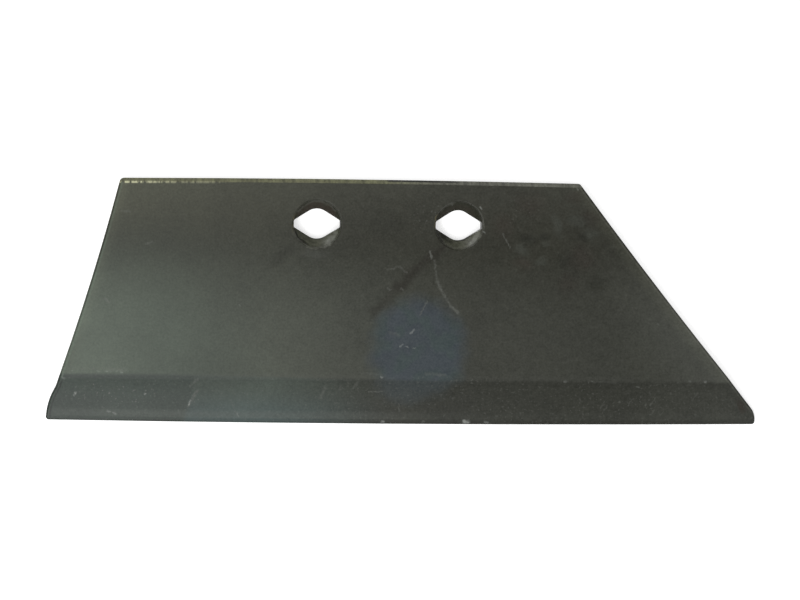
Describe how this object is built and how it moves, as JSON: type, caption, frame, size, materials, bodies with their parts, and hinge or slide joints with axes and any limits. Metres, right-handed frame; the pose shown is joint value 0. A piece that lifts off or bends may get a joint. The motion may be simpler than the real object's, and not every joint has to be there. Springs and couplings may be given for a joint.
{
  "type": "plough share",
  "caption": "Flat trapezoid plough share with a hollow bevelled cutting edge, a raked point and countersunk seats for plough bolts.",
  "frame": {"origin": "on the flat back face, midway between the two bolt holes", "axes": "+X along the cutting edge towards the point, +Y from the cutting edge towards the mounting edge, +Z out of the front face"},
  "size_m": [0.356, 0.1221, 0.01],
  "materials": {
    "dark_paint": "satin dark olive-black paint over rolled steel, worn bright along the arrises"
  },
  "bodies": {
    "root": {"plough_share": "dark_paint"}
  },
  "joints": []
}
